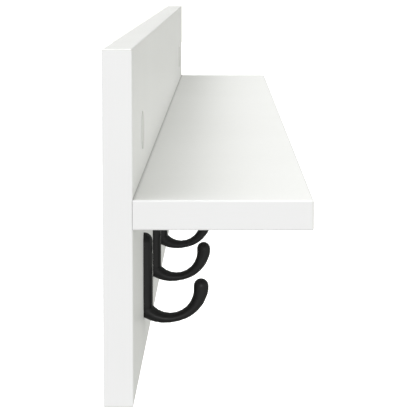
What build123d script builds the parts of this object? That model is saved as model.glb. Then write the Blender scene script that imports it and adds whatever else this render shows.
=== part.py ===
from build123d import *
import os
from math import cos, radians, sin

# Wall hook rack: an upright board that screws to the wall, a shelf across the middle of it, and a
# row of cast hooks under the shelf. Millimetres. X runs along the rack, +Y points into the wall and
# Z points up. The origin is on the wall, at the middle of the back panel's rear face, so the front
# of the rack faces -Y and its left end, as seen from the front, is at -X.

# ---- driving dimensions ----
rack_length = 1000
board_thickness = 15
panel_height = 180
shelf_depth = 90
shelf_underside = 0

band_thickness = 1.0
band_round = 0.8

hook_count = 7
hook_pitch = 128
hook_top = -19.4
hook_width = 12
strap_thickness = 5.0
strap_height = 47
strap_round = 4.7

# The arm curls round the throat. Its angles start at straight down and turn towards the tip.
throat_radius = 13.35
throat_out = 14.9
throat_drop = 32.8
arm_root_angle = -45
arm_waist_angle = 12
arm_tip_angle = 90
arm_spans = 9
arm_root_thickness = 8.75
arm_root_width = 11
arm_waist_thickness = 5.25
arm_swell = 1.6
arm_start_drop = 40.6
arm_start_thickness = 3
arm_start_width = 7
arm_end_rise = 2.3
tip_radius = 4.25

hook_screw_drops = (9, 21.5)
hook_screw_length = 16
hook_screw_radius = 1.75
hook_screw_head_radius = 3.5
hook_screw_head_sink = 0.1
hook_screw_pitch = 1.6

shelf_screw_positions = (-450, -225, 0, 225, 450)
shelf_screw_length = 50
shelf_screw_radius = 2.25
shelf_screw_head_radius = 4.4
shelf_screw_head_sink = 0.15
shelf_screw_pitch = 2.4

screw_head_land = 0.25
screw_clearance = 0.1
screw_plain_share = 0.3
screw_point_share = 0.12
thread_root_share = 0.72
recess_radius_share = 0.5
recess_width_share = 0.28
recess_depth_share = 0.4
countersink_angle = 90

dowel_positions = (-337.5, -112.5, 112.5, 337.5)
dowel_radius = 4
dowel_length = 30
dowel_in_panel = 10
dowel_chamfer = 0.8
fit_clearance = 0.05
hole_spare_depth = 0.5

wall_hole_position = 395
wall_hole_height = 40
wall_hole_radius = 3
wall_counterbore_radius = 6
wall_counterbore_depth = 7
cap_radius = 10.5
cap_thickness = 0.6
cap_round = 0.35
cap_stem_wall = 1.2
cap_stem_length = 3.6

# ---- sizes that follow from them ----
half_length = rack_length / 2
half_height = panel_height / 2
core_half_length = half_length - band_thickness
core_half_height = half_height - band_thickness
panel_front = -board_thickness
shelf_front = panel_front - shelf_depth
shelf_top = shelf_underside + board_thickness
shelf_middle = shelf_underside + board_thickness / 2
hook_positions = [hook_pitch * (i - (hook_count - 1) / 2) for i in range(hook_count)]
hook_screw_heights = [hook_top - drop for drop in hook_screw_drops]
strap_front = panel_front - strap_thickness
wall_hole_positions = {"left": -wall_hole_position, "right": wall_hole_position}

# Turns that point a feature's own Z out of the rack's front, or into the wall.
facing_front = (90, 0, 0)
facing_wall = (-90, 0, 0)

os.makedirs("parts", exist_ok=True)


def save(piece, label):
    """Names a finished piece and writes it as a STEP file of its own."""
    piece.part.label = label
    export_step(piece.part, f"parts/{label}.step")


def front_places(xs, y, zs):
    """Places at depth y that face the front, one for every x and z."""
    return [Location((x, y, z), facing_front) for x in xs for z in zs]


def wall_places(xs, y, z):
    """Places at depth y that face the wall, one for every x."""
    return [Location((x, y, z), facing_wall) for x in xs]


def countersink_radius(head_radius, head_sink):
    """The countersink whose cone lets a screw's head sit that far below the surface."""
    return head_radius + screw_head_land + head_sink + screw_clearance


# ---- the two boards ----
with BuildPart() as back_panel:
    with BuildSketch(Plane.XZ):
        Rectangle(2 * core_half_length, 2 * core_half_height)
    extrude(amount=board_thickness)
    with Locations(*front_places(hook_positions, panel_front, hook_screw_heights)):
        Hole(
            radius=hook_screw_radius + screw_clearance,
            depth=hook_screw_length + hook_screw_head_sink + hole_spare_depth - strap_thickness,
        )
    with Locations(*wall_places(shelf_screw_positions, 0, shelf_middle)):
        CounterSinkHole(
            radius=shelf_screw_radius + screw_clearance,
            counter_sink_radius=countersink_radius(shelf_screw_head_radius, shelf_screw_head_sink),
            depth=board_thickness,
            counter_sink_angle=countersink_angle,
        )
    with Locations(*front_places(dowel_positions, panel_front, [shelf_middle])):
        Hole(radius=dowel_radius + fit_clearance, depth=dowel_in_panel + hole_spare_depth)
    with Locations(*front_places(wall_hole_positions.values(), panel_front, [wall_hole_height])):
        CounterBoreHole(
            radius=wall_hole_radius,
            counter_bore_radius=wall_counterbore_radius,
            counter_bore_depth=wall_counterbore_depth,
            depth=board_thickness,
        )
save(back_panel, "back_panel")

with BuildPart() as shelf:
    with BuildSketch(Plane.XY.offset(shelf_underside)):
        with Locations((0, panel_front)):
            Rectangle(
                2 * core_half_length,
                shelf_depth - band_thickness,
                align=(Align.CENTER, Align.MAX),
            )
    extrude(amount=board_thickness)
    with Locations(*wall_places(shelf_screw_positions, panel_front, shelf_middle)):
        Hole(
            radius=shelf_screw_radius + screw_clearance,
            depth=shelf_screw_length + shelf_screw_head_sink + hole_spare_depth - board_thickness,
        )
    with Locations(*wall_places(dowel_positions, panel_front, shelf_middle)):
        Hole(
            radius=dowel_radius + fit_clearance,
            depth=dowel_length - dowel_in_panel + hole_spare_depth,
        )
save(shelf, "shelf")


# ---- edge banding ----
def make_band(label, low, high, outward, covers_ends):
    """A strip of edge banding between two corners, with its outward edges rounded.

    A strip that covers the ends of its neighbours is rounded at its own ends as well.
    """
    with BuildPart() as band:
        with BuildSketch(Plane.XY.offset(low[2])):
            with Locations(low[:2]):
                Rectangle(high[0] - low[0], high[1] - low[1], align=(Align.MIN, Align.MIN))
        extrude(amount=high[2] - low[2])
        rim = band.faces().sort_by(outward)[-1].edges()
        if covers_ends:
            rim += band.edges().filter_by(outward)
        else:
            rim = rim.sort_by(SortBy.LENGTH)[-2:]
        fillet(rim, band_round)
    save(band, label)


make_band(
    "panel_band_top",
    (-half_length, panel_front, core_half_height),
    (half_length, 0, half_height),
    Axis.Z,
    True,
)
make_band(
    "panel_band_bottom",
    (-half_length, panel_front, -half_height),
    (half_length, 0, -core_half_height),
    -Axis.Z,
    True,
)
make_band(
    "panel_band_left",
    (-half_length, panel_front, -core_half_height),
    (-core_half_length, 0, core_half_height),
    -Axis.X,
    False,
)
make_band(
    "panel_band_right",
    (core_half_length, panel_front, -core_half_height),
    (half_length, 0, core_half_height),
    Axis.X,
    False,
)
make_band(
    "shelf_band_front",
    (-half_length, shelf_front, shelf_underside),
    (half_length, shelf_front + band_thickness, shelf_top),
    -Axis.Y,
    True,
)
make_band(
    "shelf_band_left",
    (-half_length, shelf_front + band_thickness, shelf_underside),
    (-core_half_length, panel_front, shelf_top),
    -Axis.X,
    False,
)
make_band(
    "shelf_band_right",
    (core_half_length, shelf_front + band_thickness, shelf_underside),
    (half_length, panel_front, shelf_top),
    Axis.X,
    False,
)


# ---- hooks ----
def arm_thickness(angle):
    """The arm's thickness seen from the side: least at the waist, most at the root and the tip."""
    if angle < arm_waist_angle:
        end_angle, end_thickness = arm_root_angle, arm_root_thickness
    else:
        end_angle, end_thickness = arm_tip_angle, 2 * tip_radius
    reach = (angle - arm_waist_angle) / (end_angle - arm_waist_angle)
    return arm_waist_thickness + (end_thickness - arm_waist_thickness) * reach**arm_swell


def arm_width(angle):
    """The arm's width seen from the front, which narrows evenly from the root to the tip."""
    reach = (angle - arm_root_angle) / (arm_tip_angle - arm_root_angle)
    return arm_root_width + (2 * tip_radius - arm_root_width) * reach


def across_arm(out, drop, heading):
    """The plane across an arm at a point out from the panel and below the hook's top.

    The heading is the way the arm runs there, in degrees up from straight out.
    """
    return Plane(
        origin=(0, panel_front - out, hook_top - drop),
        x_dir=(1, 0, 0),
        z_dir=(0, -cos(radians(heading)), sin(radians(heading))),
    )


def round_throat(angle):
    """The plane across the arm at an angle round the throat."""
    radius = throat_radius + arm_thickness(angle) / 2
    out = throat_out + radius * sin(radians(angle))
    drop = throat_drop + radius * cos(radians(angle))
    return across_arm(out, drop, angle)


arm_step = (arm_tip_angle - arm_root_angle) / arm_spans
arm_angles = [arm_root_angle + i * arm_step for i in range(arm_spans + 1)]
tip_out = throat_out + throat_radius + tip_radius
tip_drop = throat_drop - arm_end_rise
strap_back = Plane(origin=(0, panel_front, hook_top), x_dir=(1, 0, 0), z_dir=(0, -1, 0))

with BuildPart() as hook_body:
    # The strap lies on the panel: flat behind, round at both ends and rounded over in front.
    with BuildSketch(strap_back):
        with Locations((0, -strap_height / 2)):
            SlotOverall(strap_height, hook_width, rotation=90)
    extrude(amount=strap_thickness)
    fillet(hook_body.faces().sort_by(Axis.Y)[0].edges(), strap_round)

    # The arm starts inside the strap, curls under the throat and ends in a round tip.
    with BuildSketch(across_arm(strap_thickness / 2, arm_start_drop, -90)):
        Ellipse(arm_start_width / 2, arm_start_thickness / 2)
    for angle in arm_angles:
        with BuildSketch(round_throat(angle)):
            Ellipse(arm_width(angle) / 2, arm_thickness(angle) / 2)
    with BuildSketch(across_arm(tip_out, tip_drop, arm_tip_angle)):
        Ellipse(tip_radius, tip_radius)
    loft()
    with Locations((0, panel_front - tip_out, hook_top - tip_drop)):
        Sphere(tip_radius)
    split(bisect_by=Plane.XZ.offset(board_thickness), keep=Keep.TOP)

    with Locations(*front_places([0], strap_front, hook_screw_heights)):
        CounterSinkHole(
            radius=hook_screw_radius + screw_clearance,
            counter_sink_radius=countersink_radius(hook_screw_head_radius, hook_screw_head_sink),
            depth=strap_thickness,
            counter_sink_angle=countersink_angle,
        )

for number, x in enumerate(hook_positions, start=1):
    with BuildPart() as hook:
        with Locations((x, 0, 0)):
            add(hook_body.part)
    save(hook, f"hook_{number}")


# ---- screws and dowels ----
def screw_outline(length, radius, head_radius, pitch):
    """Half of a countersunk wood screw's outline, from the middle of its head to its point."""
    root_radius = radius * thread_root_share
    neck = screw_head_land + head_radius - radius
    points = [(0, 0), (head_radius, 0), (head_radius, -screw_head_land), (radius, -neck)]
    thread_start = neck + length * screw_plain_share
    thread_end = length * (1 - screw_point_share)
    points.append((radius, -thread_start))
    for turn in range(int((thread_end - thread_start) / pitch)):
        crest = thread_start + (turn + 1) * pitch
        points.append((root_radius, -crest + pitch / 2))
        points.append((radius, -crest))
    points.append((root_radius, -thread_end - pitch / 2))
    points.append((0, -length))
    return points


def make_screw(length, radius, head_radius, pitch):
    """A countersunk cross-recessed screw that points down, with the top of its head at z = 0."""
    with BuildPart() as screw:
        with BuildSketch(Plane.XZ):
            with BuildLine():
                Polyline(*screw_outline(length, radius, head_radius, pitch), close=True)
            make_face()
        revolve(axis=Axis.Z)
        with BuildSketch(Plane.XY):
            for turn in (0, 90):
                Rectangle(
                    2 * head_radius * recess_radius_share,
                    head_radius * recess_width_share,
                    rotation=turn,
                )
        extrude(amount=-head_radius * recess_depth_share, mode=Mode.SUBTRACT)
    return screw.part


hook_screw = make_screw(
    hook_screw_length, hook_screw_radius, hook_screw_head_radius, hook_screw_pitch
)
for number, x in enumerate(hook_positions, start=1):
    with BuildPart() as hook_screws:
        with Locations(*front_places([x], strap_front + hook_screw_head_sink, hook_screw_heights)):
            add(hook_screw)
    save(hook_screws, f"hook_{number}_screws")

shelf_screw = make_screw(
    shelf_screw_length, shelf_screw_radius, shelf_screw_head_radius, shelf_screw_pitch
)
with BuildPart() as shelf_screws:
    with Locations(*wall_places(shelf_screw_positions, -shelf_screw_head_sink, shelf_middle)):
        add(shelf_screw)
save(shelf_screws, "shelf_screws")

dowel_middle = panel_front + dowel_in_panel - dowel_length / 2
with BuildPart() as shelf_dowels:
    with Locations(*front_places(dowel_positions, dowel_middle, [shelf_middle])):
        Cylinder(dowel_radius, dowel_length)
    chamfer(shelf_dowels.edges().filter_by(GeomType.CIRCLE), dowel_chamfer)
save(shelf_dowels, "shelf_dowels")


# ---- covers over the wall screws ----
cap_stem_radius = wall_counterbore_radius - fit_clearance
for side, x in wall_hole_positions.items():
    mouth = Plane(origin=(x, panel_front, wall_hole_height), x_dir=(1, 0, 0), z_dir=(0, -1, 0))
    with BuildPart() as screw_cap:
        with BuildSketch(mouth):
            Circle(cap_radius)
        extrude(amount=cap_thickness)
        fillet(screw_cap.faces().sort_by(Axis.Y)[0].edges(), cap_round)
        with BuildSketch(mouth):
            Circle(cap_stem_radius)
            Circle(cap_stem_radius - cap_stem_wall, mode=Mode.SUBTRACT)
        extrude(amount=-cap_stem_length)
    save(screw_cap, f"screw_cap_{side}")
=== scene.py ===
"""Looks of the wall hook rack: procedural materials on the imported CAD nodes, a plain pale floor,
soft studio light and a camera that looks along the rack from just beyond its left end.

Everything is in metres in the row frame: X along the rack, the wall at y = 0, Z up.
Colours are linear. Noise scales are in cells per metre."""

import bpy
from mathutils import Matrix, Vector


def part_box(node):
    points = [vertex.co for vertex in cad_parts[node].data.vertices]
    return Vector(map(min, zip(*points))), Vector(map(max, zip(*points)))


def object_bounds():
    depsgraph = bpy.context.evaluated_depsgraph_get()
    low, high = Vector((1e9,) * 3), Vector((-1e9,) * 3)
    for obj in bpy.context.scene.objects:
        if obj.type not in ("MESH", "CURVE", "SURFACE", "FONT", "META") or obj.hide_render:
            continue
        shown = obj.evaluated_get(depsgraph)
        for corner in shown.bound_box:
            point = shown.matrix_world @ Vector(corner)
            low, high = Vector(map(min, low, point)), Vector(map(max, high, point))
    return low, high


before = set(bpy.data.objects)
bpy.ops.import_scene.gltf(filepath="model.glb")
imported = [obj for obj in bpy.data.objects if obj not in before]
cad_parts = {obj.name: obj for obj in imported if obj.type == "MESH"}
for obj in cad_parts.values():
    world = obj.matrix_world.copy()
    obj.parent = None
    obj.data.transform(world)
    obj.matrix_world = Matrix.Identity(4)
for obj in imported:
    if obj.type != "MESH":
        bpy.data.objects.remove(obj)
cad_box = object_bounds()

NO_STRETCH = (1.0, 1.0, 1.0)
X_AXIS, Y_AXIS, Z_AXIS = range(3)

# Camera: its place is measured from the rack's left end, the wall and the shelf's underside, and
# its aim is given for each metre along the rack
camera_beyond_end = 0.8202
camera_out_from_wall = 0.0595
camera_height = 0.1283
camera_clip = (0.01, 300.0)
lens_mm = 144.52788
sensor_mm = 36.0
aim_to_wall = 0.00863
aim_down = 0.0973
shift_share = 0.18

# Floor, below the rack's lowest point
floor_drop = 2.4
floor_half = 60.0
floor_patch_scale = 3.0
floor_colours = ((0.90, 0.90, 0.90), (0.92, 0.92, 0.92))
floor_roughness = 0.9
floor_glow_colour = (1.0, 1.0, 1.0, 1.0)
floor_glow = 0.55

# Surround, as lobes of light: the direction they come from, strength and sharpness
overhead_lobe = ((0.0, 0.45, 0.893), 5.04, 12.0)
end_lobe = ((-1.0, 0.0, 0.0), 0.42, 1.0)
front_lobe = ((0.0, -1.0, 0.0), 0.36, 1.0)
surround_base = 0.434
surround_seen = 1.15
ambient_tint = (0.99, 1.0, 0.952)
lobe_tint = (1.0, 1.0, 1.012)

# Softbox beyond the left end
softbox_place = (-2.6, -0.16, 0.50)
softbox_aim = (-0.38, -0.04, -0.05)
softbox_side = 0.36
softbox_power = 7.0

# Melamine board
board_cloud_scale = 9.0
board_fleck_scale = 420.0
board_pearl_scale = 1500.0
board_colours = ((0.846, 0.849, 0.838), (0.862, 0.865, 0.855))
board_fleck_colour = (0.80, 0.80, 0.785)
board_fleck_share = 0.10
board_roughness = (0.36, 0.46)
board_gloss = 0.35
# Painted shade in corners and joints of the board: reach and depth
board_corner_shade = (0.0018, 0.5)
chip_scale = 650.0
chip_edges = (0.1, 0.6)
chip_colours = ((0.50, 0.36, 0.22), (0.74, 0.60, 0.42))
bore_reach = 0.0065
bore_wall_facing = 0.6

# Edge banding
band_line_scale = 2600.0
band_line_stretch = 0.02
band_cloud_scale = 16.0
band_line_colour = (0.80, 0.80, 0.78)
band_line_share = 0.12
band_roughness = (0.33, 0.42)
band_gloss = 0.4
# Painted shade in corners and joints of the band: reach and depth
band_corner_shade = (0.0008, 0.18)
end_band_colours = ((0.860, 0.858, 0.872), (0.877, 0.875, 0.890))
long_band_colours = ((0.80, 0.80, 0.793), (0.82, 0.82, 0.813))

# Powder coat
coat_peel_scale = 950.0
coat_grit_scale = 3200.0
coat_cloud_scale = 120.0
coat_colours = ((0.0048, 0.0048, 0.0050), (0.0075, 0.0075, 0.0077))
coat_grit_colour = (0.014, 0.014, 0.0143)
coat_grit_share = 0.2
coat_rub_colour = (0.02, 0.02, 0.02)
coat_rub_edges = (0.53, 0.62)
coat_rub_share = (0.1, 0.6)
coat_roughness = (0.29, 0.36)
coat_gloss = (0.30, 0.02)
coat_gloss_turn = (0.05, 0.75)
# Painted shade in corners and joints of the coat: reach and depth
coat_corner_shade = (0.0015, 0.5)

# Screws
metal_stretch = (0.15, 1.0, 0.15)
metal_line_scale = 2500.0
metal_patch_scale = 700.0
# Painted shade in corners and joints of the screws: reach and depth
metal_corner_shade = (0.0012, 0.55)
oxide_colours = ((0.012, 0.012, 0.0125), (0.03, 0.03, 0.031))
oxide_metallic = 0.6
oxide_roughness = (0.32, 0.48)
zinc_colours = ((0.55, 0.55, 0.54), (0.74, 0.74, 0.72))
zinc_metallic = 1.0
zinc_roughness = (0.22, 0.38)

# Beech dowels
beech_fibre_scale = 1400.0
beech_fibre_stretch = (1.0, 0.06, 1.0)
beech_fleck_scale = 900.0
beech_fleck_stretch = (1.0, 0.22, 1.0)
beech_colours = ((0.56, 0.37, 0.21), (0.74, 0.54, 0.35))
beech_fleck_colour = (0.38, 0.22, 0.12)
beech_fleck_share = 0.45
beech_fleck_edges = (0.58, 0.72)
beech_roughness = (0.55, 0.72)

# Covers over the wall screws
cap_grain_scale = 2400.0
cap_cloud_scale = 180.0
cap_colours = ((0.70, 0.703, 0.685), (0.73, 0.733, 0.715))
cap_grain_colour = (0.66, 0.66, 0.645)
cap_grain_share = 0.15
cap_roughness = (0.48, 0.60)
# Painted shade in corners and joints of the caps: reach and depth
cap_corner_shade = (0.001, 0.3)

# Surface relief: strength and height
board_pearl_relief = (0.10, 0.00006)
board_cloud_relief = (0.05, 0.0004)
band_relief = (0.08, 0.00005)
coat_peel_relief = (0.16, 0.0001)
coat_grit_relief = (0.12, 0.00003)
metal_relief = (0.12, 0.00004)
beech_relief = (0.25, 0.00012)
cap_relief = (0.2, 0.00005)

# Node details; the last three number the mix node's colour sockets
noise_middle = (0.3, 0.7)
noise_roughness = 0.55
# Spread and samples of the occlusion behind the painted shade in corners
corner_shade_edges = (0.35, 0.95)
corner_shade_samples = 8
mix_first_colour = 6
mix_second_colour = 7
mix_colour_result = 2


# ---------------------------------------------------------------- node helpers
def new_material(name):
    """A material with one Principled shader; returns the material, its tree and the shader."""
    material = bpy.data.materials.new(name)
    material.use_nodes = True
    tree = material.node_tree
    return material, tree, tree.nodes["Principled BSDF"]


def add(tree, kind, inputs=(), **settings):
    """One node; inputs is a list of (socket name or number, value or output socket)."""
    made = tree.nodes.new(kind)
    for key, value in settings.items():
        setattr(made, key, value)
    for key, value in inputs:
        if isinstance(value, bpy.types.NodeSocket):
            tree.links.new(value, made.inputs[key])
        else:
            made.inputs[key].default_value = value
    return made


def row_coords(tree, stretch=NO_STRETCH):
    """Coordinates in the row frame, in metres, stretched for grain and lines."""
    coords = add(tree, "ShaderNodeTexCoord")
    inputs = [("Vector", coords.outputs["Object"]), ("Scale", stretch)]
    return add(tree, "ShaderNodeMapping", inputs).outputs["Vector"]


def noise(tree, vector, scale, detail):
    inputs = [
        ("Vector", vector),
        ("Scale", scale),
        ("Detail", detail),
        ("Roughness", noise_roughness),
    ]
    return add(tree, "ShaderNodeTexNoise", inputs).outputs["Fac"]


def spread(tree, value, ends, edges=noise_middle):
    """A value that lies between the edges, spread so that it runs between the ends."""
    inputs = [
        ("Value", value),
        ("From Min", edges[0]),
        ("From Max", edges[1]),
        ("To Min", ends[0]),
        ("To Max", ends[1]),
    ]
    return add(tree, "ShaderNodeMapRange", inputs).outputs["Result"]


def blend_colours(tree, amount, first, second, kind="MIX"):
    """Mix node between two colours, each a tuple or a socket."""
    inputs = [("Factor", amount)]
    for number, colour in ((mix_first_colour, first), (mix_second_colour, second)):
        inputs.append((number, (*colour, 1.0) if isinstance(colour, tuple) else colour))
    made = add(tree, "ShaderNodeMix", inputs, data_type="RGBA", blend_type=kind)
    return made.outputs[mix_colour_result]


def tinted(tree, colour, other, value, share=1.0, edges=noise_middle):
    """The colour, turning into the other one by up to share where the value is high."""
    return blend_colours(tree, spread(tree, value, (0.0, share), edges), colour, other)


def math_node(tree, operation, first, second=0.0):
    return add(tree, "ShaderNodeMath", [(0, first), (1, second)], operation=operation).outputs[0]


def relief(tree, shader, height, strength_and_height, under=None):
    """Bump on the shader, on top of an earlier bump if one is given."""
    strength, distance = strength_and_height
    inputs = [("Height", height), ("Strength", strength), ("Distance", distance)]
    if under is not None:
        inputs.append(("Normal", under))
    normal = add(tree, "ShaderNodeBump", inputs).outputs["Normal"]
    tree.links.new(normal, shader.inputs["Normal"])
    return normal


def with_painted_corner_shade(tree, colour, reach_and_depth):
    """The colour, darker by depth in a corner or joint that is closer than reach: painted shade
    from an ambient occlusion term put into the colour.
    """
    reach, depth = reach_and_depth
    shade = add(tree, "ShaderNodeAmbientOcclusion", [("Distance", reach)], samples=corner_shade_samples)
    share = spread(tree, shade.outputs["AO"], (1.0 - depth, 1.0), corner_shade_edges)
    return blend_colours(tree, 1.0, colour, share, "MULTIPLY")


def finish_shader(tree, shader, colour, roughness):
    tree.links.new(colour, shader.inputs["Base Color"])
    tree.links.new(roughness, shader.inputs["Roughness"])


# ---------------------------------------------------------------- materials
def bore_mask(tree, coords):
    """1 on the walls of the two wall screw holes, where the board is cut open."""
    axes = add(tree, "ShaderNodeSeparateXYZ", [("Vector", coords)])
    bores = None
    for corner_low, corner_high in (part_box("screw_cap_left"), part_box("screw_cap_right")):
        middle = (corner_low + corner_high) / 2
        across = math_node(tree, "SUBTRACT", axes.outputs["X"], middle.x)
        up = math_node(tree, "SUBTRACT", axes.outputs["Z"], middle.z)
        across_square = math_node(tree, "MULTIPLY", across, across)
        up_square = math_node(tree, "MULTIPLY", up, up)
        span = math_node(tree, "ADD", across_square, up_square)
        inside = math_node(tree, "LESS_THAN", span, bore_reach**2)
        bores = inside if bores is None else math_node(tree, "MAXIMUM", bores, inside)
    normal = add(tree, "ShaderNodeNewGeometry").outputs["True Normal"]
    facing = add(tree, "ShaderNodeSeparateXYZ", [("Vector", normal)])
    level = math_node(tree, "ABSOLUTE", facing.outputs["Y"])
    wall = math_node(tree, "LESS_THAN", level, bore_wall_facing)
    return math_node(tree, "MULTIPLY", bores, wall)


def board_material():
    """White melamine face: faint cloudiness, fine pearl texture, raw chipboard in the bores."""
    material, tree, shader = new_material("melamine_white")
    coords = row_coords(tree)
    cloud = noise(tree, coords, board_cloud_scale, detail=4.0)
    fleck = noise(tree, coords, board_fleck_scale, detail=2.0)
    pearl = noise(tree, coords, board_pearl_scale, detail=3.0)
    face = tinted(tree, *board_colours, cloud)
    face = tinted(tree, face, board_fleck_colour, fleck, board_fleck_share)
    chips = add(tree, "ShaderNodeTexVoronoi", [("Vector", coords), ("Scale", chip_scale)])
    core = tinted(tree, *chip_colours, chips.outputs["Distance"], edges=chip_edges)
    colour = blend_colours(tree, bore_mask(tree, coords), face, core)
    # Painted shade: the colour goes darker in corners and joints
    colour = with_painted_corner_shade(tree, colour, board_corner_shade)
    finish_shader(tree, shader, colour, spread(tree, fleck, board_roughness))
    shader.inputs["Specular IOR Level"].default_value = board_gloss
    under = relief(tree, shader, pearl, board_pearl_relief)
    relief(tree, shader, cloud, board_cloud_relief, under)
    return material


def banding_material(name, along, colours):
    """Plastic edge band: fine extrusion lines along its length on a satin face."""
    material, tree, shader = new_material(name)
    stretch = list(NO_STRETCH)
    stretch[along] = band_line_stretch
    lines = noise(tree, row_coords(tree, stretch), band_line_scale, detail=2.0)
    cloud = noise(tree, row_coords(tree), band_cloud_scale, detail=3.0)
    colour = tinted(tree, *colours, cloud)
    colour = tinted(tree, colour, band_line_colour, lines, band_line_share)
    # Painted shade: the colour goes darker in corners and joints
    colour = with_painted_corner_shade(tree, colour, band_corner_shade)
    finish_shader(tree, shader, colour, spread(tree, lines, band_roughness))
    shader.inputs["Specular IOR Level"].default_value = band_gloss
    relief(tree, shader, lines, band_relief)
    return material


def coating_material():
    """Satin black powder coat: orange-peel surface, small gloss changes, rubbed raised edges."""
    material, tree, shader = new_material("powder_coat_black")
    coords = row_coords(tree)
    peel = noise(tree, coords, coat_peel_scale, detail=2.0)
    grit = noise(tree, coords, coat_grit_scale, detail=2.0)
    cloud = noise(tree, coords, coat_cloud_scale, detail=3.0)
    raised = add(tree, "ShaderNodeNewGeometry").outputs["Pointiness"]
    rubbed = spread(tree, raised, (0.0, 1.0), coat_rub_edges)
    rubbed = math_node(tree, "MULTIPLY", rubbed, spread(tree, cloud, coat_rub_share))
    colour = tinted(tree, *coat_colours, cloud)
    colour = tinted(tree, colour, coat_grit_colour, grit, coat_grit_share)
    colour = blend_colours(tree, rubbed, colour, coat_rub_colour)
    # Painted shade: the colour goes darker in corners and joints
    colour = with_painted_corner_shade(tree, colour, coat_corner_shade)
    finish_shader(tree, shader, colour, spread(tree, cloud, coat_roughness))
    turned_away = add(tree, "ShaderNodeLayerWeight").outputs["Facing"]
    gloss = spread(tree, turned_away, coat_gloss, coat_gloss_turn)
    tree.links.new(gloss, shader.inputs["Specular IOR Level"])
    under = relief(tree, shader, peel, coat_peel_relief)
    relief(tree, shader, grit, coat_grit_relief, under)
    return material


def metal_material(name, colours, metallic, roughness):
    """Turned or plated metal with fine lines round the shank and dulled patches."""
    material, tree, shader = new_material(name)
    lines = noise(tree, row_coords(tree, metal_stretch), metal_line_scale, detail=3.0)
    patches = noise(tree, row_coords(tree), metal_patch_scale, detail=3.0)
    colour = tinted(tree, *colours, patches)
    # Painted shade: the colour goes darker in corners and joints
    colour = with_painted_corner_shade(tree, colour, metal_corner_shade)
    finish_shader(tree, shader, colour, spread(tree, lines, roughness))
    shader.inputs["Metallic"].default_value = metallic
    relief(tree, shader, lines, metal_relief)
    return material


def beech_material():
    """Planed beech: long fibres along the dowel, short darker ray flecks."""
    material, tree, shader = new_material("beech_dowel")
    fibres = noise(tree, row_coords(tree, beech_fibre_stretch), beech_fibre_scale, detail=4.0)
    flecks = noise(tree, row_coords(tree, beech_fleck_stretch), beech_fleck_scale, detail=2.0)
    colour = tinted(tree, *beech_colours, fibres)
    colour = tinted(tree, colour, beech_fleck_colour, flecks, beech_fleck_share, beech_fleck_edges)
    finish_shader(tree, shader, colour, spread(tree, fibres, beech_roughness))
    relief(tree, shader, fibres, beech_relief)
    return material


def cap_material():
    """Matt moulded cover: fine spark-eroded grain and slight cloudiness."""
    material, tree, shader = new_material("moulded_cap_white")
    coords = row_coords(tree)
    grain = noise(tree, coords, cap_grain_scale, detail=3.0)
    cloud = noise(tree, coords, cap_cloud_scale, detail=2.0)
    colour = tinted(tree, *cap_colours, cloud)
    colour = tinted(tree, colour, cap_grain_colour, grain, cap_grain_share)
    # Painted shade: the colour goes darker in corners and joints
    colour = with_painted_corner_shade(tree, colour, cap_corner_shade)
    finish_shader(tree, shader, colour, spread(tree, grain, cap_roughness))
    relief(tree, shader, grain, cap_relief)
    return material


def dress(nodes, material):
    """Gives CAD nodes a material in every slot they have."""
    for name in nodes:
        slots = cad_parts[name].data.materials
        if len(slots) == 0:
            slots.append(material)
        for index in range(len(slots)):
            slots[index] = material


def dress_rack():
    """Every CAD node gets its finish."""
    hook_nodes = [name for name in sorted(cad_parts) if name.startswith("hook_")]
    hook_screws = [name for name in hook_nodes if name.endswith("screws")]
    hooks = [name for name in hook_nodes if name not in hook_screws]
    long_bands = ["panel_band_top", "panel_band_bottom", "shelf_band_front"]
    upright_bands = ["panel_band_left", "panel_band_right"]
    deep_bands = ["shelf_band_left", "shelf_band_right"]
    dress(["back_panel", "shelf"], board_material())
    dress(long_bands, banding_material("edge_band_long", X_AXIS, long_band_colours))
    dress(upright_bands, banding_material("edge_band_upright", Z_AXIS, end_band_colours))
    dress(deep_bands, banding_material("edge_band_deep", Y_AXIS, end_band_colours))
    dress(hooks, coating_material())
    oxide = metal_material("screw_black_oxide", oxide_colours, oxide_metallic, oxide_roughness)
    dress(hook_screws, oxide)
    zinc = metal_material("screw_zinc", zinc_colours, zinc_metallic, zinc_roughness)
    dress(["shelf_screws"], zinc)
    dress(["shelf_dowels"], beech_material())
    dress(["screw_cap_left", "screw_cap_right"], cap_material())


# ---------------------------------------------------------------- stage and light
def make_floor():
    """Pale floor far below the rack, which sends no light or reflection back to it."""
    mesh = bpy.data.meshes.new("floor")
    height = cad_box[0].z - floor_drop
    signs = ((-1, -1), (1, -1), (1, 1), (-1, 1))
    corners = [(x * floor_half, y * floor_half, height) for x, y in signs]
    mesh.from_pydata(corners, [], [(0, 1, 2, 3)])
    floor = bpy.data.objects.new("floor", mesh)
    bpy.context.scene.collection.objects.link(floor)
    material, tree, shader = new_material("floor_pale")
    patches = noise(tree, row_coords(tree), floor_patch_scale, detail=2.0)
    tree.links.new(blend_colours(tree, patches, *floor_colours), shader.inputs["Base Color"])
    shader.inputs["Roughness"].default_value = floor_roughness
    shader.inputs["Emission Color"].default_value = floor_glow_colour
    shader.inputs["Emission Strength"].default_value = floor_glow
    mesh.materials.append(material)
    floor.visible_diffuse = False
    floor.visible_glossy = False


def lobe(tree, direction, toward, strength, sharpness):
    """Light that is strongest from one direction and fades away from it."""
    inputs = [(0, direction), (1, toward)]
    facing = add(tree, "ShaderNodeVectorMath", inputs, operation="DOT_PRODUCT")
    share = math_node(tree, "MAXIMUM", facing.outputs["Value"], 0.0)
    return math_node(tree, "MULTIPLY", math_node(tree, "POWER", share, sharpness), strength)


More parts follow.
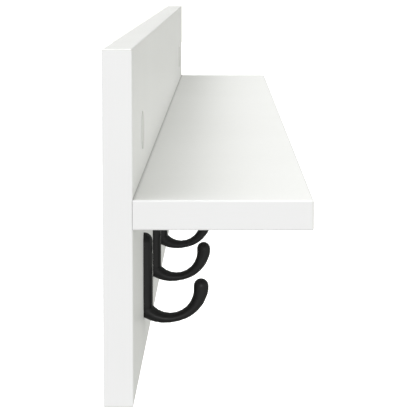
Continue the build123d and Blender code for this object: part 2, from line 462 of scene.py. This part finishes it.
def make_world():
    """Soft surround: a broad light overhead, a wide one beyond the left end, a weak one in front.
    The camera sees plain white."""
    world = bpy.data.worlds.new("studio")
    bpy.context.scene.world = world
    world.use_nodes = True
    tree = world.node_tree
    surround = tree.nodes["Background"]
    direction = add(tree, "ShaderNodeTexCoord").outputs["Generated"]
    overhead = lobe(tree, direction, *overhead_lobe)
    end_on = lobe(tree, direction, *end_lobe)
    front = lobe(tree, direction, *front_lobe)
    lobes = math_node(tree, "ADD", overhead, end_on)
    level = math_node(tree, "ADD", lobes, math_node(tree, "ADD", front, surround_base))
    neutral = math_node(tree, "DIVIDE", lobes, level)
    tint = blend_colours(tree, neutral, ambient_tint, lobe_tint)
    tree.links.new(tint, surround.inputs["Color"])
    seen = add(tree, "ShaderNodeLightPath").outputs["Is Camera Ray"]
    inputs = [("Factor", seen), ("A", level), ("B", surround_seen)]
    strength = add(tree, "ShaderNodeMix", inputs, data_type="FLOAT")
    tree.links.new(strength.outputs[0], surround.inputs["Strength"])


def make_softbox():
    """Square area light that puts a soft highlight along each hook's arm."""
    light = bpy.data.lights.new("end_softbox", "AREA")
    light.shape = "SQUARE"
    light.size = softbox_side
    light.energy = softbox_power
    lamp = bpy.data.objects.new("end_softbox", light)
    bpy.context.scene.collection.objects.link(lamp)
    lamp.location = softbox_place
    lamp.rotation_mode = "QUATERNION"
    toward = Vector(softbox_aim) - Vector(softbox_place)
    lamp.rotation_quaternion = toward.to_track_quat("-Z", "Y")


def make_camera():
    """Perspective camera just beyond the left end; part of its look downwards is lens shift."""
    camera = bpy.data.objects.new("camera", bpy.data.cameras.new("camera"))
    bpy.context.scene.collection.objects.link(camera)
    place = (cad_box[0].x - camera_beyond_end, -camera_out_from_wall, camera_height)
    camera.location = place
    camera.rotation_mode = "QUATERNION"
    aim = Vector((1.0, aim_to_wall, -aim_down))
    camera.rotation_quaternion = aim.to_track_quat("-Z", "Y")
    camera.data.sensor_width = sensor_mm
    camera.data.lens = lens_mm
    camera.data.shift_y = -shift_share
    camera.data.clip_start, camera.data.clip_end = camera_clip
    bpy.context.scene.camera = camera


dress_rack()
make_floor()
make_world()
make_softbox()
make_camera()
bpy.context.scene.view_settings.view_transform = "Standard"
